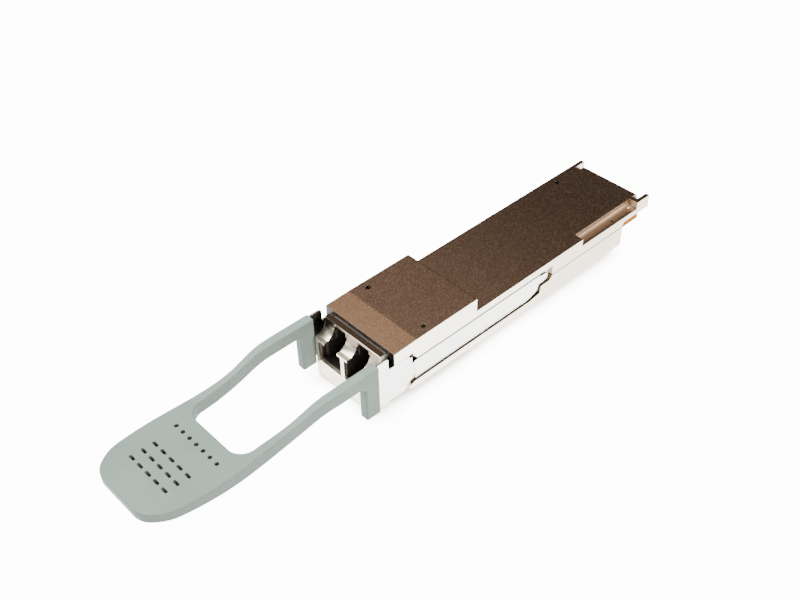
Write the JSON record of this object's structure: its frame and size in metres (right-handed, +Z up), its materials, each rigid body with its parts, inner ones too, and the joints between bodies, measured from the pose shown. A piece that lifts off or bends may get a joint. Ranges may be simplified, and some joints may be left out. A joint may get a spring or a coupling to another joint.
{
  "type": "optical transceiver module",
  "caption": "Pluggable fibre-optic transceiver with two side-by-side LC ports, a spring-loaded side latch slider pulled by a soft tab, and a gold card edge at the rear",
  "frame": {"origin": "middle of the bounding box in plan, at the height of its lowest face", "axes": "+X across the module, -Y towards the fibre ports and the pull tab, +Y towards the card edge, +Z up out of the deck that takes the heat sink"},
  "size_m": [0.0196, 0.1234, 0.0136],
  "materials": {
    "nickel_plating": "satin nickel plate over a zinc alloy die casting",
    "bright_nickel": "bright nickel plate over a zinc alloy die casting",
    "spring_steel": "plated spring steel sheet",
    "spring_wire": "drawn wire",
    "grey_elastomer": "soft grey-green moulding, matte",
    "barrel_steel": "turned stainless steel",
    "zirconia": "polished white ceramic",
    "package_metal": "gold-flashed iron-nickel alloy",
    "polyimide": "amber film",
    "board_laminate": "solder-masked glass epoxy",
    "contact_gold": "hard gold plate",
    "chip_moulding": "black mould compound",
    "ferrite": "moulded ferrite",
    "ceramic": "multilayer ceramic with tinned ends",
    "gap_filler": "soft silicone pad",
    "conductive_rubber": "silver-filled silicone",
    "screw_steel": "zinc plate"
  },
  "bodies": {
    "module": {"barrel_clamp": "barrel_steel", "bottom_edge_contacts": "contact_gold", "bottom_shell": "nickel_plating", "chip_capacitors": "ceramic", "chip_thermal_pad": "gap_filler", "circuit_board": "board_laminate", "controller_chip": "chip_moulding", "driver_chip": "chip_moulding", "gearbox_chip": "chip_moulding", "left_ferrule_sleeve": "zirconia", "left_fibre_barrel": "barrel_steel", "left_fibre_stub": "zirconia", "left_flex_circuit": "polyimide", "left_laser_package": "package_metal", "left_return_spring": "spring_wire", "left_seam_gasket": "conductive_rubber", "optics_thermal_pad": "gap_filler", "port_housing": "bright_nickel", "power_inductors": "ferrite", "right_ferrule_sleeve": "zirconia", "right_fibre_barrel": "barrel_steel", "right_fibre_stub": "zirconia", "right_flex_circuit": "polyimide", "right_laser_package": "package_metal", "right_return_spring": "spring_wire", "right_seam_gasket": "conductive_rubber", "shell_screws": "screw_steel", "top_edge_contacts": "contact_gold", "top_shell": "nickel_plating"},
    "latch": {"latch_slider": "spring_steel", "pull_tab": "grey_elastomer"}
  },
  "joints": [
    {"name": "latch_slide", "type": "slide", "parent": "module", "child": "latch", "axis": [0, -1, 0], "range_m": [0, 0.0025], "stiffness_N_per_m": 400, "springref_m": -0.002, "deforming": ["left_return_spring", "right_return_spring"]}
  ]
}
